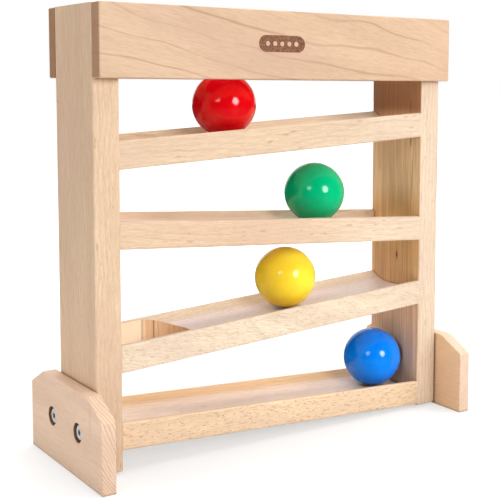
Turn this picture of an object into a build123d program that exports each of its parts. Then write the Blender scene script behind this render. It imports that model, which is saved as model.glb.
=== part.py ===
from build123d import *
from math import atan, degrees, radians, tan
import os

os.makedirs("parts", exist_ok=True)

# ---------------------------------------------------------------- driving sizes
# Side posts: two upright boards, feet hold them just clear of the floor.
frame_width = 318.0
frame_depth = 66.6
frame_top = 336.0
post_thickness = 20.2
post_floor_gap = 1.8
edge_round = 1.6
post_foot_round = 0.8

# Two rails at the top leave a slot between them for dropping a ball in.
rail_height = 51.8
rail_thickness = 12.4
rail_end_inset = 0.2
rail_edge_round = 1.2

# Ramps: height of the lip where each ramp meets the left and the right post.
ramp_thickness = 20.5
ramp_lip_heights = {
    "top_ramp": (240.4, 257.2),
    "upper_ramp": (183.5, 168.3),
    "lower_ramp": (94.0, 112.2),
    "bottom_ramp": (37.5, 23.3),
}
hole_side = {"top_ramp": -1, "upper_ramp": 1, "lower_ramp": -1}

# Ball channel milled along each ramp: a flat floor with a wide cove either side.
channel_half_width = 30.2
channel_depth = 7.4
channel_floor_half_width = 7.0
lip_round = 0.7

# Drop hole at the low end: straight sides next to the post, round at the far end.
hole_radius = 28.8
hole_centre_from_post = 41.0

# Feet: flat boards screwed to the outer faces of the posts.
foot_length = 131.4
foot_height = 63.6
foot_thickness = 10.6
foot_chamfer_length = 24.5
foot_chamfer_drop = 12.5
foot_edge_round = 0.8
foot_corner_round = 2.5

# Foot screws, two to a foot, with the heads sunk in round pockets.
screw_offset = 23.8
screw_height = 33.4
pocket_diameter = 14.6
pocket_depth = 4.3
screw_diameter = 6.0
screw_length = 18.0
screw_hole_diameter = 6.4
head_diameter = 11.0
head_height = 3.0
head_edge_round = 0.8
socket_across_flats = 4.0
socket_depth = 2.0

# Threaded barrel inserts in the posts take the foot screws.
insert_diameter = 9.0
insert_length = 13.5
insert_rib_diameter = 9.6
insert_rib_width = 1.2
insert_rib_count = 3
fit_clearance = 0.05

# Glued dowels hidden in the joints.
dowel_diameter = 6.0
dowel_length = 24.0
dowel_edge = 0.6
dowel_hole_extra = 0.5
ramp_dowel_offset = 14.0
ramp_dowel_rise = 6.2
rail_dowel_in_rail = 9.0
rail_dowel_spacing = 26.0

# Blank oval mark pressed into the front rail, with a plain row of raised dots.
mark_centre_x = -10.9
mark_centre_z = 311.2
mark_length = 41.5
mark_height = 12.6
mark_depth = 0.4
mark_dot_count = 5
mark_dot_diameter = 3.6
mark_dot_pitch = 6.4

# Balls: one to a ramp, resting a hair above the channel floor. Each has its place along the
# ramp, none where it lies against the post, and how far it lies off the ramp's middle.
ball_diameter = 50.0
ball_gap = 0.3
ball_places = {
    "red_ball": ("top_ramp", -35.2, 0.0),
    "green_ball": ("upper_ramp", 51.4, 0.0),
    "yellow_ball": ("lower_ramp", 22.4, 0.0),
    "blue_ball": ("bottom_ramp", None, -1.4),
}

# ---------------------------------------------------------------- derived sizes
half_width = frame_width / 2
half_depth = frame_depth / 2
inner_face = half_width - post_thickness
span = 2 * inner_face
ball_radius = ball_diameter / 2


def save(shape, node):
    export_step(shape, f"parts/{node}.step")


def block(x0, x1, y0, y1, z0, z1):
    """Square-edged block between two corners."""
    centre = Pos((x0 + x1) / 2, (y0 + y1) / 2, (z0 + z1) / 2)
    return centre * Box(x1 - x0, y1 - y0, z1 - z0)


def rod(start, direction, diameter, length):
    """Round bar that begins at a point and runs along a direction."""
    plane = Plane(origin=start, z_dir=direction)
    return extrude(plane * Circle(diameter / 2), amount=length)


def dowel(start, direction, length=dowel_length):
    """Plain round dowel with both ends eased."""
    bar = rod(start, direction, dowel_diameter, length)
    return chamfer(bar.edges().filter_by(GeomType.CIRCLE), dowel_edge)


def is_upright(edge):
    return abs((edge @ 1 - edge @ 0).X) < 0.001


def near_y(edge, offset):
    return abs(abs(edge.center().Y) - offset) < 0.01


def near_y_flat(corner, offset):
    return abs(abs(corner.X) - offset) < 0.01


# ---------------------------------------------------------------- ramp geometry
def lip_height(node, x):
    left, right = ramp_lip_heights[node]
    return left + (right - left) * (x + inner_face) / span


def ramp_plane(node, x=0.0):
    """Plane on the lips of a ramp: local x runs up or down the ramp, z square to it."""
    rise = (ramp_lip_heights[node][1] - ramp_lip_heights[node][0]) / span
    along = Vector(1, 0, rise).normalized()
    normal = Vector(-rise, 0, 1).normalized()
    return Plane(origin=(x, 0, lip_height(node, x)), x_dir=along, z_dir=normal)


def ramp_blank(node):
    left, right = ramp_lip_heights[node]
    outline = Polyline(
        (-inner_face, left),
        (inner_face, right),
        (inner_face, right - ramp_thickness),
        (-inner_face, left - ramp_thickness),
        close=True,
    )
    face = Plane.XZ * make_face(outline)
    return extrude(face, amount=half_depth, both=True)


def channel_cutter(node):
    """Cove, flat floor, cove: swept along the ramp and open above the lips."""
    run = channel_half_width - channel_floor_half_width
    radius = (run**2 + channel_depth**2) / (2 * channel_depth)
    slope_at_lip = degrees(atan(run / (radius - channel_depth)))
    mid = Vector(0, radius, 0).rotate(Axis.Z, -slope_at_lip / 2)
    mid_y = channel_floor_half_width + mid.X
    mid_z = radius - mid.Y - channel_depth
    floor_z = -channel_depth
    beyond = frame_depth
    edges = [
        Polyline(
            (-channel_half_width, 0),
            (-beyond, 0),
            (-beyond, 20),
            (beyond, 20),
            (beyond, 0),
            (channel_half_width, 0),
        ),
        ThreePointArc((channel_half_width, 0), (mid_y, mid_z), (channel_floor_half_width, floor_z)),
        Line((channel_floor_half_width, floor_z), (-channel_floor_half_width, floor_z)),
        ThreePointArc((-channel_floor_half_width, floor_z), (-mid_y, mid_z), (-channel_half_width, 0)),
    ]
    section = make_face(edges)
    lip_corners = section.vertices().filter_by(lambda v: near_y_flat(v, channel_half_width))
    section = fillet(lip_corners, lip_round)
    round_start = channel_half_width + lip_round * tan(radians(slope_at_lip / 2))
    section = section & Rectangle(2 * round_start, 60)
    lips = ramp_plane(node)
    across = Plane(origin=lips.origin, x_dir=(0, 1, 0), z_dir=lips.x_dir)
    return extrude(across * section, amount=0.6 * frame_width, both=True)


def hole_cutter(node):
    """Round-ended slot cut square to the ramp, open against the post."""
    side = hole_side[node]
    lips = ramp_plane(node, side * (inner_face - hole_centre_from_post))
    slot_length = hole_centre_from_post + 10
    outline = Circle(hole_radius) + Pos(side * slot_length / 2, 0) * Rectangle(slot_length, 2 * hole_radius)
    return extrude(lips * outline, amount=2 * ramp_thickness, both=True)


# ---------------------------------------------------------------- joints between boards
def ramp_dowel_sites(node):
    """Point and direction of each dowel, from the middle of the joint into the ramp."""
    sites = []
    for side in (-1, 1):
        if hole_side.get(node) == side:
            continue
        for across in (-ramp_dowel_offset, ramp_dowel_offset):
            z = lip_height(node, side * inner_face) - ramp_thickness + ramp_dowel_rise
            sites.append((Vector(side * inner_face, across, z), Vector(-side, 0, 0)))
    return sites


def rail_dowel_sites(face_side):
    """Rail dowels run from inside the rail back into the end of each post."""
    sites = []
    middle = frame_top - rail_height / 2
    for side in (-1, 1):
        for rise in (-rail_dowel_spacing / 2, rail_dowel_spacing / 2):
            x = side * (half_width - post_thickness / 2)
            sites.append((Vector(x, face_side * half_depth, middle + rise), Vector(0, -face_side, 0)))
    return sites


def holes_at(sites, into):
    """Blind holes centred on joint faces; into is the depth each side of the joint."""
    cutters = []
    for point, direction in sites:
        start = point - direction * (into[0] + dowel_hole_extra)
        length = into[0] + into[1] + 2 * dowel_hole_extra
        cutters.append(rod(start, direction, dowel_diameter + 2 * fit_clearance, length))
    return cutters


def screw_sites(side):
    points = []
    for across in (-screw_offset, screw_offset):
        points.append(Vector(side * half_width, across, screw_height))
    return points


ramp_dowel_into = (dowel_length / 2, dowel_length / 2)
rail_dowel_into = (rail_dowel_in_rail, dowel_length - rail_dowel_in_rail)

# ---------------------------------------------------------------- posts and ramps
frame = block(-half_width, -inner_face, -half_depth, half_depth, post_floor_gap, frame_top)
frame += block(inner_face, half_width, -half_depth, half_depth, post_floor_gap, frame_top)
for node in ramp_lip_heights:
    frame += ramp_blank(node)

outer_faces = frame.faces().filter_by(Axis.Y).sort_by(Axis.Y)
outline_edges = outer_faces[0].edges() + outer_faces[-1].edges()
under_side = ramp_thickness
frame = fillet(outline_edges.filter_by(lambda e: e.center().Z > under_side or is_upright(e)), edge_round)

between = block(-inner_face, inner_face, -half_depth, half_depth, -1, frame_top)
ramp_solids = (frame & between).solids().sort_by(Axis.Z, reverse=True)

for node, blank in zip(ramp_lip_heights, ramp_solids):
    if node == "bottom_ramp":
        lower_edges = blank.faces().sort_by(Axis.Z)[0].edges().filter_by(lambda e: near_y(e, half_depth))
        blank = blank.fillet(edge_round, lower_edges)
    ramp = blank - channel_cutter(node)
    if node in hole_side:
        ramp -= hole_cutter(node)
    for cutter in holes_at(ramp_dowel_sites(node), ramp_dowel_into):
        ramp -= cutter
    save(ramp, node)
    dowels = []
    for point, direction in ramp_dowel_sites(node):
        dowels.append(dowel(point - direction * dowel_length / 2, direction))
    save(Compound(children=dowels), f"{node}_dowels")

for name, side in (("left", -1), ("right", 1)):
    x0, x1 = sorted((side * inner_face, side * half_width))
    post = frame & block(x0, x1, -half_depth, half_depth, 0, frame_top)
    for node in ramp_lip_heights:
        for cutter in holes_at(ramp_dowel_sites(node), ramp_dowel_into):
            post -= cutter
    for face_side in (-1, 1):
        for cutter in holes_at(rail_dowel_sites(face_side), rail_dowel_into):
            post -= cutter
    for point in screw_sites(side):
        bore = rod(point, (-side, 0, 0), insert_rib_diameter + 2 * fit_clearance, insert_length + 0.5)
        post -= bore
    post = fillet(post.faces().sort_by(Axis.Z)[0].edges(), post_foot_round)
    save(post, f"{name}_post")

    # Foot with sunk screw pockets
    half_length = foot_length / 2
    slope_start = half_length - foot_chamfer_length
    shoulder = foot_height - foot_chamfer_drop
    outline = Polyline(
        (-half_length, 0),
        (half_length, 0),
        (half_length, shoulder),
        (slope_start, foot_height),
        (-slope_start, foot_height),
        (-half_length, shoulder),
        close=True,
    )
    face = Plane(origin=(side * half_width, 0, 0), x_dir=(0, side, 0), z_dir=(side, 0, 0)) * make_face(outline)
    foot = extrude(face, amount=foot_thickness)
    corners = foot.edges().filter_by(Axis.X).group_by(Axis.Z)
    foot = fillet(corners[-1] + corners[-2], foot_corner_round)
    side_faces = foot.faces().filter_by(Axis.X).sort_by(Axis.X)
    foot = fillet(side_faces[0].edges() + side_faces[-1].edges(), foot_edge_round)
    for point in screw_sites(side):
        outward = Vector(side, 0, 0)
        floor_of_pocket = point + outward * (foot_thickness - pocket_depth)
        foot -= rod(floor_of_pocket, (side, 0, 0), pocket_diameter, pocket_depth + 1)
        foot -= rod(point - outward, (side, 0, 0), screw_hole_diameter, foot_thickness)
    save(foot, f"{name}_foot")

    # Screws and the inserts they run into
    screws = []
    inserts = []
    for point in screw_sites(side):
        outward = Vector(side, 0, 0)
        seat = point + outward * (foot_thickness - pocket_depth)
        head = rod(seat, outward, head_diameter, head_height)
        rim = head.edges().filter_by(GeomType.CIRCLE).sort_by(Axis.X)[0 if side < 0 else -1]
        head = fillet(rim, head_edge_round)
        socket_plane = Plane(origin=seat + outward * (head_height - socket_depth), z_dir=outward)
        hexagon = RegularPolygon(socket_across_flats / 2, 6, major_radius=False)
        head -= extrude(socket_plane * hexagon, amount=socket_depth + 1)
        shank = rod(seat, -outward, screw_diameter, screw_length)
        tip = shank.edges().filter_by(GeomType.CIRCLE).sort_by(Axis.X)[-1 if side < 0 else 0]
        shank = chamfer(tip, 0.8)
        screws.append(head + shank)

        sleeve = rod(point, -outward, insert_diameter, insert_length)
        for number in range(insert_rib_count):
            along = (number + 0.5) * insert_length / insert_rib_count - insert_rib_width / 2
            sleeve += rod(point - outward * along, -outward, insert_rib_diameter, insert_rib_width)
        sleeve -= rod(point + outward, -outward, screw_diameter + 2 * fit_clearance, insert_length + 2)
        inserts.append(sleeve)
    save(Compound(children=screws), f"{name}_foot_screws")
    save(Compound(children=inserts), f"{name}_foot_inserts")

# ---------------------------------------------------------------- top rails
for name, face_side in (("front", -1), ("back", 1)):
    y0, y1 = sorted((face_side * half_depth, face_side * (half_depth + rail_thickness)))
    end = half_width - rail_end_inset
    rail = block(-end, end, y0, y1, frame_top - rail_height, frame_top)
    show_face = rail.faces().filter_by(Axis.Y).sort_by(Axis.Y)[0 if face_side < 0 else -1]
    rail = fillet(show_face.edges() + rail.edges().filter_by(Axis.Y), rail_edge_round)
    for cutter in holes_at(rail_dowel_sites(face_side), rail_dowel_into):
        rail -= cutter
    if name == "front":
        face_plane = Plane(
            origin=(mark_centre_x, -half_depth - rail_thickness, mark_centre_z),
            x_dir=(1, 0, 0),
            z_dir=(0, -1, 0),
        )
        mark = SlotOverall(mark_length, mark_height)
        for number in range(mark_dot_count):
            offset = (number - (mark_dot_count - 1) / 2) * mark_dot_pitch
            mark -= Pos(offset, 0) * Circle(mark_dot_diameter / 2)
        rail -= extrude(face_plane * mark, amount=mark_depth, both=True)
    save(rail, f"{name}_top_rail")
    dowels = []
    for point, direction in rail_dowel_sites(face_side):
        dowels.append(dowel(point - direction * rail_dowel_in_rail, direction))
    save(Compound(children=dowels), f"{name}_rail_dowels")

# ---------------------------------------------------------------- balls
for node, (ramp_node, x, y) in ball_places.items():
    if x is None:
        x = inner_face - ball_radius - ball_gap
    lips = ramp_plane(ramp_node, x)
    lift = ball_radius + ball_gap - channel_depth
    centre = lips.origin + Vector(0, y, lift / lips.z_dir.Z)
    save(Pos(*centre) * Sphere(ball_radius), node)
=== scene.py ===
import math

import bpy
from mathutils import Matrix, Vector


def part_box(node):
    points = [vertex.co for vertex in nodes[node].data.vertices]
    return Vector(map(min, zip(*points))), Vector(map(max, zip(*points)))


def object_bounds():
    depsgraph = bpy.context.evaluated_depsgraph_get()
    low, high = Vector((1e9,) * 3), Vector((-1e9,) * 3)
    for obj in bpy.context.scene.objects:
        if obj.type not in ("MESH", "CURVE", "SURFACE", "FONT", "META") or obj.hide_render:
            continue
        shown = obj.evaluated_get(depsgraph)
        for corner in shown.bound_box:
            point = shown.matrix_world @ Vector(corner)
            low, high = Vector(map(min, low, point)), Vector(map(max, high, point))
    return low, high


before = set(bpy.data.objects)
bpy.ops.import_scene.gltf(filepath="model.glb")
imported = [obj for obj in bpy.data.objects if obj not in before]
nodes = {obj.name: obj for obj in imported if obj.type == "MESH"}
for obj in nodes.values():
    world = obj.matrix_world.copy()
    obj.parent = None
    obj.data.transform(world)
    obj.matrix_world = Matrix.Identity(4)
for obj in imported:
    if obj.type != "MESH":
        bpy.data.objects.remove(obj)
cad_low, cad_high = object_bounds()
centre = (cad_low + cad_high) / 2


# ------------------------------------------------------------------ node helpers
MM = 1000.0  # millimetres in a metre


class Tree:
    """Short names for building a material's node tree."""

    def __init__(self, material):
        material.use_nodes = True
        self.tree = material.node_tree
        self.shader = self.tree.nodes["Principled BSDF"]

    def node(self, kind, **settings):
        made = self.tree.nodes.new(kind)
        for key, value in settings.items():
            setattr(made, key, value)
        return made

    def feed(self, socket, value):
        if isinstance(value, bpy.types.NodeSocket):
            self.tree.links.new(value, socket)
        else:
            socket.default_value = value

    def math(self, operation, a, b=0.0):
        made = self.node("ShaderNodeMath", operation=operation)
        for socket, value in zip(made.inputs, (a, b)):
            self.feed(socket, value)
        return made.outputs[0]

    def vector(self, operation, a, b=(0, 0, 0), scale=None):
        made = self.node("ShaderNodeVectorMath", operation=operation)
        self.feed(made.inputs[0], a)
        self.feed(made.inputs[1], b)
        if scale is not None:
            self.feed(made.inputs["Scale"], scale)
        return made.outputs["Value" if operation in ("DOT_PRODUCT", "LENGTH") else "Vector"]

    def combine(self, x, y, z):
        made = self.node("ShaderNodeCombineXYZ")
        for socket, value in zip(made.inputs, (x, y, z)):
            self.feed(socket, value)
        return made.outputs[0]

    def noise(self, vector, scale=1.0, detail=2.0, roughness=0.5):
        made = self.node("ShaderNodeTexNoise")
        self.feed(made.inputs["Vector"], vector)
        made.inputs["Scale"].default_value = scale
        made.inputs["Detail"].default_value = detail
        made.inputs["Roughness"].default_value = roughness
        return made.outputs["Fac"]

    def span(self, value, low, high, to_low=0.0, to_high=1.0, smooth=True):
        made = self.node("ShaderNodeMapRange")
        made.interpolation_type = "SMOOTHSTEP" if smooth else "LINEAR"
        made.clamp = True
        for name, number in (("Value", value), ("From Min", low), ("From Max", high),
                             ("To Min", to_low), ("To Max", to_high)):
            self.feed(made.inputs[name], number)
        return made.outputs["Result"]

    def mix(self, factor, a, b, blend="MIX"):
        made = self.node("ShaderNodeMix", data_type="RGBA", blend_type=blend)
        self.feed(made.inputs["Factor"], factor)
        colour_a, colour_b = made.inputs[6], made.inputs[7]
        self.feed(colour_a, a)
        self.feed(colour_b, b)
        colour_out = made.outputs[2]
        return colour_out

    def crevice_shade(self, distance, open_from, shut_from, power=1.0):
        """1 where the surface is shut in by others nearby, 0 in the open: the mask for painted shade in
        corners and crevices.
        """
        made = self.node("ShaderNodeAmbientOcclusion", samples=8)
        made.inputs["Distance"].default_value = distance
        return self.span(made.outputs["AO"], open_from, shut_from, 0.0, power)

    def bump(self, height, strength, distance):
        made = self.node("ShaderNodeBump")
        made.inputs["Strength"].default_value = strength
        made.inputs["Distance"].default_value = distance
        self.feed(made.inputs["Height"], height)
        self.feed(self.shader.inputs["Normal"], made.outputs[0])


def srgb(r, g, b):
    """Linear colour from 0-255 display values."""
    def one(v):
        v /= 255
        return v / 12.92 if v <= 0.04045 else ((v + 0.055) / 1.055) ** 2.4
    return (one(r), one(g), one(b), 1.0)


# ------------------------------------------------------------------ beech
def beech(name, grain, across, pith, seed, tone=(222, 191, 159), right_tone_painted_light=None,
          ring=3.6, edge=0.35, rings=0.10, wander=26.0, ripple=3.2, band=0.05, fibre=0.11,
          fleck=0.3, fleck_rate=0.5, fleck_size=(3.2, 11.0), end_dark=0.45, end_rings=0.0):
    """Planed beech: growth rings round a pith, bands of tone, ray flecks and fine fibre.

    grain and across are directions in the row frame; pith is where the tree's
    middle lay in the board's own cross section, in millimetres, and ring is the
    width of a year's growth. tone is the board's mean colour, drifting to
    right_tone_painted_light at its right end, a painted light that makes the right end paler
    and whiter where more light falls; rings, band and fibre are how far each one
    darkens it. A fleck's size is its width and its length along the grain.
    """
    material = bpy.data.materials.new(name)
    t = Tree(material)
    grain = Vector(grain).normalized()
    across = (Vector(across) - grain * grain.dot(Vector(across))).normalized()
    other = grain.cross(across)
    coords = t.node("ShaderNodeTexCoord")
    place = t.vector("SCALE", coords.outputs["Object"], scale=MM)
    u = t.vector("DOT_PRODUCT", place, across)
    v = t.vector("DOT_PRODUCT", place, other)
    # Every board is cut from its own stretch of tree
    w = t.math("ADD", t.vector("DOT_PRODUCT", place, grain), seed * 137.0)

    def stretched(side, along, shift=0.0):
        """The board's own coordinates, in features a millimetre across and along the grain."""
        return t.combine(t.math("MULTIPLY", u, side), t.math("MULTIPLY", v, side),
                         t.math("ADD", t.math("MULTIPLY", w, along), shift))

    # Growth rings: distance from a pith line that wanders a little
    du = t.math("SUBTRACT", u, pith[0])
    dv = t.math("SUBTRACT", v, pith[1])
    radius = t.math("SQRT", t.math("ADD", t.math("MULTIPLY", du, du), t.math("MULTIPLY", dv, dv)))
    for bend, amount in ((stretched(0.012, 0.0075), wander), (stretched(0.09, 0.022), ripple)):
        radius = t.math("ADD", radius, t.math("MULTIPLY", t.noise(bend, 1.0, 2.0), amount))
    count = t.math("DIVIDE", radius, ring)
    phase = t.math("FRACT", count)
    # Late wood darkens towards the end of each year and stops sharply; some years are fainter
    late = t.math("MULTIPLY", t.span(phase, edge, 0.93), t.span(phase, 1.0, 0.95))
    year = t.noise(t.combine(t.math("FLOOR", count), seed, t.math("MULTIPLY", w, 0.012)), 0.77, 1.0)
    late = t.math("MULTIPLY", late, t.span(year, 0.3, 0.7, 0.25, 1.0))

    # Broad tone, fibre, pores and flecks, which show on the upright faces only
    broad = t.noise(stretched(0.05, 0.008), 1.0, 3.0)
    blush = t.noise(stretched(0.03, 0.012, 7.3), 1.0, 1.0)
    fine = t.noise(stretched(1.2, 0.075), 1.0, 4.0, 0.75)
    pores = t.noise(stretched(2.2, 0.30), 1.0, 2.0, 0.6)
    cells = t.node("ShaderNodeTexVoronoi")
    t.feed(cells.inputs["Vector"], t.combine(t.math("MULTIPLY", u, 1.0 / fleck_size[0]),
                                             t.math("MULTIPLY", v, 0.012),
                                             t.math("MULTIPLY", w, 1.0 / fleck_size[1])))
    cells.inputs["Scale"].default_value = 1.0
    lot = t.node("ShaderNodeSeparateColor")
    t.feed(lot.inputs[0], cells.outputs["Color"])
    reach = t.span(lot.outputs[0], 1.0 - fleck_rate, 1.0, 0.0, 0.36, smooth=False)
    dash = t.span(t.math("SUBTRACT", cells.outputs["Distance"], reach), 0.0, -0.12)
    level = t.math("ABSOLUTE", t.vector("DOT_PRODUCT", coords.outputs["Normal"], (0, 0, 1)))
    small = t.noise(stretched(1.15, 0.20, 3.1), 1.0, 1.0)
    dash = t.math("MAXIMUM", dash, t.span(small, 0.59, 0.68, 0.0, 0.8 * fleck_rate))
    dash = t.math("MULTIPLY", dash, t.span(level, 0.8, 0.4))

    def darker(amount):
        """The board's colour with some light taken out of it, blue first."""
        return srgb(*(c * (1 - amount * k) for c, k in zip(tone, (0.70, 1.0, 1.25))))

    lift = 1.0 + (rings * 0.35 + band * 0.5 + fibre * 0.5) * 0.9
    colour = srgb(*(min(250, c * lift) for c in tone))
    if right_tone_painted_light:
        # Painted light: the colour drifts to a paler, whiter tone towards the right end
        painted_light_drift = t.span(t.vector("DOT_PRODUCT", place, (1, 0, 0)), -40.0, 130.0)
        colour = t.mix(painted_light_drift, colour, srgb(*(min(250, c * lift) for c in right_tone_painted_light)))
    full = 0.30
    deep = darker(full)
    for amount, mask in (
        (rings, late),
        (band, t.span(broad, 0.35, 0.68)),
        (fibre, t.span(fine, 0.36, 0.68)),
        (0.35 * fibre, t.span(pores, 0.45, 0.72)),
    ):
        colour = t.mix(t.math("MULTIPLY", mask, amount / full), colour, deep)
    rosy = srgb(tone[0], tone[1] * 0.955, tone[2] * 0.985)
    colour = t.mix(t.span(blush, 0.42, 0.66, 0.0, 0.35), colour, rosy)
    brown = srgb(tone[0] * 0.76, tone[1] * 0.60, tone[2] * 0.44)
    colour = t.mix(t.math("MULTIPLY", dash, fleck), colour, brown)

    # End grain drinks the oil and goes darker, and shows its rings more
    facing = t.math("ABSOLUTE", t.vector("DOT_PRODUCT", coords.outputs["Normal"], grain))
    ends = t.span(facing, 0.60, 0.95)
    if end_rings > 0:
        sawn = t.math("MULTIPLY", t.span(facing, 0.25, 0.42), late)
        colour = t.mix(t.math("MULTIPLY", sawn, end_rings), colour, darker(0.34))
    colour = t.mix(t.math("MULTIPLY", ends, end_dark), colour, darker(0.42))

    t.feed(t.shader.inputs["Roughness"], t.span(fine, 0.3, 0.7, 0.46, 0.60, smooth=False))
    t.shader.inputs["Specular IOR Level"].default_value = 0.40
    relief = t.math("ADD", t.math("MULTIPLY", fine, 0.6), t.math("MULTIPLY", pores, -0.4))
    relief = t.math("ADD", relief, t.math("MULTIPLY", dash, -0.3))
    t.bump(relief, 0.35, 0.00015)
    return material, t, colour, place


def assign(node, material):
    for slot in nodes[node].material_slots:
        slot.link = "DATA"
        slot.material = material


def spot(t, place, middle, size, power=1.0):
    """A soft patch, 1 in the middle: where it is and its half sizes, in millimetres."""
    shifted = t.vector("SUBTRACT", place, middle)
    scaled = t.vector("MULTIPLY", shifted, tuple(1.0 / s for s in size))
    wobble = t.math("MULTIPLY", t.noise(place, 0.25, 2.0), 0.7)
    return t.span(t.math("ADD", t.vector("LENGTH", scaled), wobble), 1.35, 0.45, 0.0, power)


X, Y, Z = (1, 0, 0), (0, 1, 0), (0, 0, 1)
LEFTWARD = (-1, 0, 0)


def tilt(direction, degrees):
    """A direction turned in the plane of the front face, up to the right when positive."""
    return Matrix.Rotation(math.radians(-degrees), 4, "Y").to_3x3() @ Vector(direction)


def ramp_grain(node):
    """Direction along a ramp, from the height of its two ends."""
    near_end = 0.002
    mesh = nodes[node].data
    low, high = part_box(node)
    tops = []
    for end in (low.x, high.x):
        tops.append(max(v.co.z for v in mesh.vertices if abs(v.co.x - end) < near_end))
    return Vector((high.x - low.x, 0, tops[1] - tops[0])).normalized()


PEACH, CREAM, HONEY, ROSE = (203, 180, 152), (216, 199, 176), (223, 198, 165), (219, 191, 167)
RAIL_TAN = (189, 160, 133)
rail_figure = dict(wander=34.0, ripple=5.0, across=Z, tone=RAIL_TAN)
foot_figure = dict(grain=Y, across=X, ring=2.1, rings=0.03, fibre=0.06, fleck=0.12, fleck_rate=0.2,
                   end_dark=0.05)
boards = {
    "left_post": dict(grain=Z, across=X, pith=(-40, 95), seed=1.3, tone=(207, 181, 152), ring=2.6,
                      rings=0.07, band=0.05, fleck=0.35, fleck_rate=0.45),
    "right_post": dict(grain=Z, across=X, pith=(260, 40), seed=2.1, tone=(207, 187, 164), ring=2.9,
                       rings=0.08, fleck=0.30, fleck_rate=0.35),
    "front_top_rail": dict(grain=tilt(X, -11.3), pith=(-420, -60), seed=3.7, ring=17.0, edge=0.86,
                           rings=0.16, fibre=0.08, fleck=0.12, fleck_rate=0.2, end_dark=0.65,
                           **rail_figure),
    "back_top_rail": dict(grain=tilt(X, 6), pith=(-380, 80), seed=4.9, ring=15.0, edge=0.7, rings=0.12,
                          fleck=0.15, fleck_rate=0.25, end_dark=0.75, **rail_figure),
    "top_ramp": dict(grain=ramp_grain("top_ramp"), across=Z, pith=(-60, 170), seed=5.2, tone=PEACH,
                     ring=4.2, rings=0.07, fleck=0.35, fleck_rate=0.45, right_tone_painted_light=(206, 188, 165)),
    "upper_ramp": dict(grain=ramp_grain("upper_ramp"), across=Z, pith=(420, 90), seed=6.4,
                       tone=(207, 181, 153), ring=4.4, rings=0.06, fleck=0.35, fleck_rate=0.45,
                       right_tone_painted_light=(212, 193, 170)),
    "lower_ramp": dict(grain=tilt(X, -12), across=Z, pith=(60, -170), seed=7.8, tone=CREAM, ring=3.4,
                       rings=0.08, fleck=0.52, fleck_rate=0.8, fleck_size=(1.0, 5.2)),
    "bottom_ramp": dict(grain=ramp_grain("bottom_ramp"), across=Z, pith=(-30, 180), seed=8.1, tone=HONEY,
                        ring=3.4, rings=0.06, fleck=0.72, fleck_rate=0.85, fleck_size=(1.4, 3.4)),
    "left_foot": dict(pith=(12, -130), seed=9.5, tone=ROSE, end_rings=0.55, **foot_figure),
    "right_foot": dict(pith=(-12, -130), seed=10.2, tone=(221, 196, 172), end_rings=0.45, **foot_figure),
}


def along(t, place, direction):
    """How far a place lies in a direction, in millimetres."""
    return t.vector("DOT_PRODUCT", place, direction)


def turned(t, direction):
    """How squarely a face looks in a direction, 1 when it does and -1 when it looks away."""
    return t.vector("DOT_PRODUCT", t.node("ShaderNodeTexCoord").outputs["Normal"], direction)


# ------------------------------------------------------------------ what single boards show
# Each function takes the board's tree, its colour so far and the place on it in
# millimetres, and returns the colour with one detail painted in.
def pressed_mark(t, colour, place, face):
    """The mark's sunk ground is scorched brown, and its dots are left pale."""
    centre_x, centre_z, reach_x, reach_z = -10.9, 311.2, 22.0, 8.0
    shallow, deep = 0.25, 0.8
    depth = t.math("SUBTRACT", along(t, place, Y), face)
    from_x = t.math("ABSOLUTE", t.math("SUBTRACT", along(t, place, X), centre_x))
    from_z = t.math("ABSOLUTE", t.math("SUBTRACT", along(t, place, Z), centre_z))
    ground = t.math("GREATER_THAN", depth, shallow)
    for value, limit in ((depth, deep), (from_x, reach_x), (from_z, reach_z)):
        ground = t.math("MULTIPLY", ground, t.math("LESS_THAN", value, limit))
    scorch = t.noise(place, 0.55, 3.0, 0.65)
    burnt = t.mix(t.span(scorch, 0.35, 0.7), srgb(96, 56, 34), srgb(150, 98, 66))
    return t.mix(ground, colour, burnt)


def heartwood(t, colour, place, face):
    """The inner side is browner, changes tone with height, and has dark streaks and a pin knot; its top,
    under the front rail, is darkened as a painted shadow of the rail.
    """
    inner = t.span(turned(t, LEFTWARD), 0.5, 0.9)
    height = along(t, place, Z)
    heart = srgb(255, 208, 162)
    tones_and_rail_shadow_up_the_post = (
        (97, 137, (240, 190, 132)),
        (167, 197, (252, 210, 162)),
        # Painted shadow: this top band, under the front rail, stands in for the rail's shadow
        (247, 264, (170, 122, 84)),
    )
    for start, end, tint in tones_and_rail_shadow_up_the_post:
        heart = t.mix(t.span(height, start, end), heart, srgb(*tint))
    stripe = t.noise(t.vector("MULTIPLY", place, (0.5, 0.55, 0.012)), 1.0, 3.0, 0.7)
    heart = t.mix(t.span(stripe, 0.36, 0.64, 0.0, 0.30), heart, srgb(120, 76, 44))
    colour = t.mix(inner, colour, heart)
    skin = 2
    streaks = (
        (-20, 261.6, 0.9, 9, 0.7),
        (-20.6, 232.6, 1.1, 9, 0.85),
        (-22.6, 199.6, 0.8, 24, 0.7),
        (22, 208.6, 0.8, 8, 0.35),
        (-3.2, 131.3, 1.7, 6.0, 1.0),
        (10, 191.6, 0.6, 12, 0.3),
    )
    for y, z, half_width, half_length, power in streaks:
        streak = spot(t, place, (face, y, z), (skin, half_width, half_length), power)
        colour = t.mix(t.math("MULTIPLY", streak, inner), colour, srgb(92, 52, 26))
    return colour


def outer_side_shade(t, colour, place, face):
    """The outer side above the foot is darkened, more so higher up: painted shade on the side away from
    the key light, with one faint streak.
    """
    foot_top, full_height = 60.0, 190.0
    shaded_outer = t.span(turned(t, LEFTWARD), 0.5, 0.9)
    shaded_outer = t.math("MULTIPLY", shaded_outer, t.span(along(t, place, Z), foot_top, full_height))
    # Painted shade on the outer side
    colour = t.mix(shaded_outer, colour, (0.87, 0.87, 0.89, 1.0), "MULTIPLY")
    streak = spot(t, place, (face, 5.3, 126.6), (2, 0.7, 15), 0.35)
    return t.mix(streak, colour, srgb(140, 100, 66))


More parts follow.
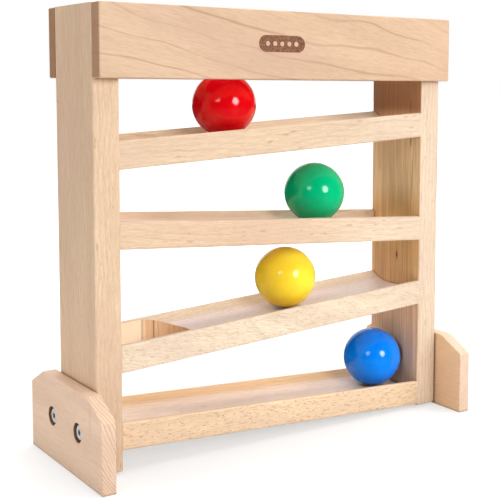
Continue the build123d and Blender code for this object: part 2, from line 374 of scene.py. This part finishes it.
def screw_pocket_shade(t, colour, place):
    """Inside the screw pockets the wood is darkened: painted shade in the recesses."""
    screw_offset, screw_height, pocket_radius = 23.8, 33.4, 7.3
    side = t.math("ABSOLUTE", along(t, place, Y))
    here = t.combine(0.0, side, along(t, place, Z))
    reach = t.vector("LENGTH", t.vector("SUBTRACT", here, (0.0, screw_offset, screw_height)))
    inside = t.math("LESS_THAN", reach, pocket_radius - 0.05)
    beside = t.math("LESS_THAN", reach, pocket_radius + 0.3)
    edge_on = t.math("LESS_THAN", t.math("ABSOLUTE", turned(t, X)), 0.7)
    pocket_shade = t.math("MAXIMUM", inside, t.math("MULTIPLY", beside, edge_on))
    # Painted shade inside the pocket
    return t.mix(pocket_shade, colour, (0.58, 0.44, 0.35, 1.0), "MULTIPLY")


def routed_channel_and_sheen(t, colour, place):
    """The routed channel floor is smoother than the planed faces, and its colour is made paler and
    pinker: a painted sheen, standing in for the grazing reflection of the bright backdrop.
    """
    channel_edge, channel_middle = 27.0, 19.0
    up = t.span(turned(t, Z), 0.90, 0.98)
    inside = t.span(t.math("ABSOLUTE", along(t, place, Y)), channel_edge, channel_middle)
    smooth_floor_and_painted_sheen = t.math("MULTIPLY", up, inside)
    rough = t.noise(t.vector("MULTIPLY", place, (0.05, 0.8, 0.8)), 1.0, 3.0)
    rough = t.span(rough, 0.3, 0.7, 0.46, 0.60, smooth=False)
    rough = t.math("ADD", rough, t.math("MULTIPLY", smooth_floor_and_painted_sheen, -0.20))
    t.feed(t.shader.inputs["Roughness"], rough)
    # Painted sheen: the channel floor's colour is lifted paler and pinker
    return t.mix(smooth_floor_and_painted_sheen, colour, (1.18, 1.25, 1.56, 1.0), "MULTIPLY")


def hole_walls(t, colour, place):
    """Walls of the drop hole: long grain by the post and striped end grain round the bend, both painted
    paler than the board as painted light reaching into the hole, with painted shade growing towards the
    end of the bend.
    """
    hole_end, hole_half_width = -68.0, 29.3
    bend_start, bend_full = -95.0, -90.0
    dark_lines = ((-93.5, 0.5), (-84.7, 0.6))
    x = along(t, place, X)
    wall = t.math("MULTIPLY", t.math("LESS_THAN", x, hole_end),
                  t.math("LESS_THAN", t.math("ABSOLUTE", along(t, place, Y)), hole_half_width))
    wall = t.math("MULTIPLY", wall, t.span(t.math("ABSOLUTE", turned(t, Z)), 0.7, 0.4))
    stripe = t.noise(t.vector("MULTIPLY", place, (0.75, 0.75, 0.02)), 1.0, 3.0, 0.7)
    # Painted light: both kinds of grain are given colours lighter than the board
    long_grain_painted_lighter = t.mix(t.span(stripe, 0.45, 0.70, 0.0, 0.5), srgb(255, 232, 202), srgb(238, 200, 160))
    end_grain_painted_lighter = t.mix(t.span(stripe, 0.36, 0.62), srgb(246, 210, 172), srgb(230, 186, 144))
    painted_light_hole_sides = t.mix(t.span(x, bend_start, bend_full), long_grain_painted_lighter, end_grain_painted_lighter)
    for middle, power in dark_lines:
        line = t.math("ABSOLUTE", t.math("SUBTRACT", x, middle))
        painted_light_hole_sides = t.mix(t.span(line, 0.75, 0.25, 0.0, power), painted_light_hole_sides, srgb(120, 74, 40))
    # Painted shade: darker towards the end of the bend, where the curved wall turns away from the light
    painted_light_hole_sides = t.mix(t.span(x, -84.0, -69.5, 0.0, 0.20), painted_light_hole_sides, srgb(120, 80, 44))
    return t.mix(wall, colour, painted_light_hole_sides)


small_knots = {"top_ramp": ((-13, 237.2), (1, 241.6)), "upper_ramp": ((90, 159.6),)}
ramp_front = -33.3
for node, look in boards.items():
    material, t, colour, place = beech("beech_" + node, **look)
    low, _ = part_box(node)
    if node == "front_top_rail":
        colour = pressed_mark(t, colour, place, low.y * MM)
    if node == "right_post":
        colour = heartwood(t, colour, place, low.x * MM)
    if node == "left_post":
        colour = outer_side_shade(t, colour, place, low.x * MM)
    if node.endswith("_foot"):
        # Painted shade inside the screw pockets
        colour = screw_pocket_shade(t, colour, place)
    if node == "right_foot":
        # The side towards the post is warmer
        inner = t.span(turned(t, LEFTWARD), 0.5, 0.9)
        colour = t.mix(inner, colour, (1.16, 1.06, 0.86, 1.0), "MULTIPLY")
    for x, z in small_knots.get(node, ()):
        knot = spot(t, place, (x, ramp_front, z), (4.0, 3.0, 0.7), 0.55)
        colour = t.mix(knot, colour, srgb(150, 104, 64))
    if node.endswith("_ramp"):
        colour = routed_channel_and_sheen(t, colour, place)
    if node == "bottom_ramp":
        # Painted shade: the back lip is darkened to a deeper, warmer strip, standing in for shade and
        # warm bounce light in the channel
        back = t.span(along(t, place, Y), 20.0, 26.0)
        colour = t.mix(back, colour, (0.94, 0.85, 0.74, 1.0), "MULTIPLY")
    if node == "lower_ramp":
        colour = hole_walls(t, colour, place)
    # Painted shade: the colour is darkened where the surface is shut in by others nearby, in corners and
    # between parts
    corner = t.crevice_shade(0.004, 0.80, 0.35, 0.85)
    colour = t.mix(corner, colour, (0.42, 0.27, 0.17, 1.0), "MULTIPLY")
    t.feed(t.shader.inputs["Base Color"], colour)
    assign(node, material)

for node in nodes:
    if node.endswith("_dowels"):
        grain = Y if "rail" in node else X
        material, t, colour, _ = beech("beech_" + node, grain=grain, across=Z, pith=(40, 30),
                                       seed=len(node))
        t.feed(t.shader.inputs["Base Color"], colour)
        assign(node, material)


# ------------------------------------------------------------------ metal
def zinc(name):
    """Bright zinc plate: fine scratches along the screw and a little mottling, with painted shade in the
    crevices.
    """
    material = bpy.data.materials.new(name)
    t = Tree(material)
    coords = t.node("ShaderNodeTexCoord")
    place = t.vector("SCALE", coords.outputs["Object"], scale=MM)
    mottle = t.noise(place, 1.4, 3.0, 0.6)
    scratch = t.noise(t.vector("MULTIPLY", place, (3, 9, 9)), 1.0, 2.0)
    colour = t.mix(mottle, srgb(226, 227, 228), srgb(246, 246, 246))
    # Painted shade in the screw heads' crevices and recesses
    colour = t.mix(t.crevice_shade(0.003, 0.9, 0.4), colour, (0.10, 0.09, 0.08, 1.0), "MULTIPLY")
    t.feed(t.shader.inputs["Base Color"], colour)
    t.shader.inputs["Metallic"].default_value = 0.35
    t.feed(t.shader.inputs["Roughness"], t.span(scratch, 0.3, 0.7, 0.30, 0.48, smooth=False))
    t.bump(scratch, 0.15, 0.00005)
    return material


zinc_plate = zinc("zinc_plate")
for node in nodes:
    if node.endswith("_screws") or node.endswith("_inserts"):
        assign(node, zinc_plate)


# ------------------------------------------------------------------ balls
def lacquer(name, deep, bright, seed, sink):
    """Gloss paint on a turned ball: a trace of grain under the coat, a little orange peel.

    sink is how much light enters the paint before it comes back, which softens the shaded side.
    """
    material = bpy.data.materials.new(name)
    t = Tree(material)
    coords = t.node("ShaderNodeTexCoord")
    place = t.vector("SCALE", coords.outputs["Object"], scale=MM)
    # Every ball has its own patch of cloud and grain
    place = t.vector("ADD", place, (seed * 31.0, seed * 17.0, 0.0))
    cloud = t.noise(place, 0.035, 2.0)
    grain = t.noise(t.vector("MULTIPLY", place, (0.5, 0.5, 0.05)), 1.0, 2.0)
    tone = t.math("ADD", t.math("MULTIPLY", cloud, 0.7), t.math("MULTIPLY", grain, 0.3))
    t.feed(t.shader.inputs["Base Color"], t.mix(t.span(tone, 0.3, 0.7), srgb(*deep), srgb(*bright)))
    wear = t.noise(place, 0.25, 3.0, 0.6)
    t.feed(t.shader.inputs["Roughness"], t.span(wear, 0.3, 0.7, 0.16, 0.24, smooth=False))
    t.shader.inputs["Specular IOR Level"].default_value = 0.0
    t.shader.inputs["Subsurface Weight"].default_value = sink
    t.shader.inputs["Subsurface Radius"].default_value = (1.0, 0.7, 0.2)
    t.shader.inputs["Subsurface Scale"].default_value = 0.02
    t.shader.inputs["Coat Weight"].default_value = 1.0
    t.shader.inputs["Coat IOR"].default_value = 1.5
    t.shader.inputs["Coat Roughness"].default_value = 0.12
    peel = t.noise(place, 0.45, 1.0)
    t.bump(peel, 0.05, 0.0002)
    return material


for node, deep, bright, sink in (
    ("red_ball", (206, 0, 8), (220, 0, 14), 0.0),
    ("green_ball", (0, 176, 114), (0, 186, 124), 0.0),
    ("yellow_ball", (255, 212, 44), (255, 220, 62), 0.5),
    ("blue_ball", (0, 124, 246), (0, 138, 254), 0.0),
):
    assign(node, lacquer("lacquer_" + node, deep, bright, len(node), sink))


# ------------------------------------------------------------------ camera
def look_along(yaw, pitch, roll):
    """Camera turn: yaw right of +Y, pitch below level, roll about the view, in radians."""
    ahead = Vector((math.sin(yaw) * math.cos(pitch), math.cos(yaw) * math.cos(pitch), -math.sin(pitch)))
    right = Vector((math.cos(yaw), -math.sin(yaw), 0.0))
    up = right.cross(ahead)
    rolled_right = right * math.cos(roll) + up * math.sin(roll)
    rolled_up = up * math.cos(roll) - right * math.sin(roll)
    return Matrix((rolled_right, rolled_up, -ahead)).transposed().to_4x4()


camera_data = bpy.data.cameras.new("camera")
camera = bpy.data.objects.new("camera", camera_data)
bpy.context.scene.collection.objects.link(camera)
camera_data.sensor_width = 36.0
camera_data.lens = 76.26
camera_data.shift_x = -0.160
camera_data.shift_y = -0.136
camera_data.clip_start = 0.05
camera_data.clip_end = 50.0
eye = (-0.4548, -0.7211, 0.2806)
camera.matrix_world = Matrix.Translation(eye) @ look_along(yaw=0.6269, pitch=0.0915, roll=0.0063)
bpy.context.scene.camera = camera


# ------------------------------------------------------------------ light and floor
def softbox(name, direction, distance, size, power, mirrored):
    """Soft round lamp facing the object from a direction; mirrored when gloss shows it."""
    data = bpy.data.lights.new(name, "AREA")
    data.shape = "ELLIPSE"
    data.size, data.size_y = size
    data.energy = power
    lamp = bpy.data.objects.new(name, data)
    bpy.context.scene.collection.objects.link(lamp)
    away = Vector(direction).normalized()
    place = centre + away * distance
    lamp.matrix_world = Matrix.Translation(place) @ away.to_track_quat("Z", "Y").to_matrix().to_4x4()
    lamp.visible_glossy = mirrored


softbox("key", (0.18, -0.94, 0.28), 1.5, (0.58, 0.62), 11.8, True)
softbox("fill", (-0.75, -0.54, 0.38), 1.7, (0.44, 0.50), 3.2, True)
softbox("left", (-1.0, 0.05, 0.22), 1.2, (0.5, 0.7), 5.3, False)
softbox("side", (0.74, -0.62, 0.26), 1.6, (0.4, 0.4), 5.4, False)
softbox("overhead", (0.49, -0.35, 0.80), 1.7, (0.6, 0.6), 9.7, False)
softbox("top", (0.1, 0.2, 1.0), 1.8, (1.6, 1.2), 35.0, False)
softbox("back", (0.50, 0.75, 0.36), 1.6, (1.4, 1.0), 3.0, False)


def backdrop(strength):
    made = wt.nodes.new("ShaderNodeBackground")
    made.inputs["Color"].default_value = (1.0, 1.0, 1.0, 1.0)
    if isinstance(strength, bpy.types.NodeSocket):
        wt.links.new(strength, made.inputs["Strength"])
    else:
        made.inputs["Strength"].default_value = strength
    return made.outputs[0]


# White to the eye and a soft tent of light; in reflections a lit backdrop in a dark studio
world = bpy.data.worlds.new("world")
bpy.context.scene.world = world
world.use_nodes = True
wt = world.node_tree
wt.nodes.remove(wt.nodes["Background"])
path = wt.nodes.new("ShaderNodeLightPath").outputs
facing = wt.nodes.new("ShaderNodeVectorMath")
facing.operation = "DOT_PRODUCT"
wt.links.new(wt.nodes.new("ShaderNodeTexCoord").outputs["Generated"], facing.inputs[0])
to_backdrop = (0.58, 0.80, 0.12)
facing.inputs[1].default_value = to_backdrop
sweep = wt.nodes.new("ShaderNodeMapRange")
sweep.interpolation_type = "SMOOTHSTEP"
wt.links.new(facing.outputs["Value"], sweep.inputs["Value"])
for name, number in (("From Min", 0.72), ("From Max", 0.93), ("To Min", 0.02), ("To Max", 1.1)):
    sweep.inputs[name].default_value = number
tent, white = 0.16, 1.0
shown = backdrop(tent)
for ray, strength in (("Is Glossy Ray", sweep.outputs["Result"]), ("Is Camera Ray", white)):
    choose = wt.nodes.new("ShaderNodeMixShader")
    wt.links.new(path[ray], choose.inputs[0])
    wt.links.new(shown, choose.inputs[1])
    wt.links.new(backdrop(strength), choose.inputs[2])
    shown = choose.outputs[0]
wt.links.new(shown, wt.nodes["World Output"].inputs[0])

floor_mesh = bpy.data.meshes.new("floor")
half = 14.0
corners = [(-half, -half, 0), (half, -half, 0), (half, half, 0), (-half, half, 0)]
floor_mesh.from_pydata(corners, [], [(0, 1, 2, 3)])
floor = bpy.data.objects.new("floor", floor_mesh)
bpy.context.scene.collection.objects.link(floor)
floor_material = bpy.data.materials.new("pale_floor")
ft = Tree(floor_material)
ft.shader.inputs["Roughness"].default_value = 0.6
ft.shader.inputs["Specular IOR Level"].default_value = 0.1
# To the eye the floor runs out into the white backdrop, and keeps only the soft shadows.
# Light bounces off it as off white paper, and gloss sees it dark.
ft.shader.inputs["Emission Color"].default_value = (1.0, 1.0, 1.0, 1.0)
away = ft.vector("LENGTH", ft.node("ShaderNodeTexCoord").outputs["Object"])
rays = ft.node("ShaderNodeLightPath").outputs
looked_at = rays["Is Camera Ray"]
glow = ft.span(away, 0.20, 0.70, to_low=0.57, to_high=1.0)
ft.feed(ft.shader.inputs["Emission Strength"], ft.math("MULTIPLY", glow, looked_at))
paper, in_gloss, to_the_eye = ((v, v, v, 1.0) for v in (0.8, 0.06, 0.40))
paint = ft.mix(looked_at, ft.mix(rays["Is Glossy Ray"], paper, in_gloss), to_the_eye)
ft.feed(ft.shader.inputs["Base Color"], paint)
floor_mesh.materials.append(floor_material)

bpy.context.scene.view_settings.view_transform = "Standard"
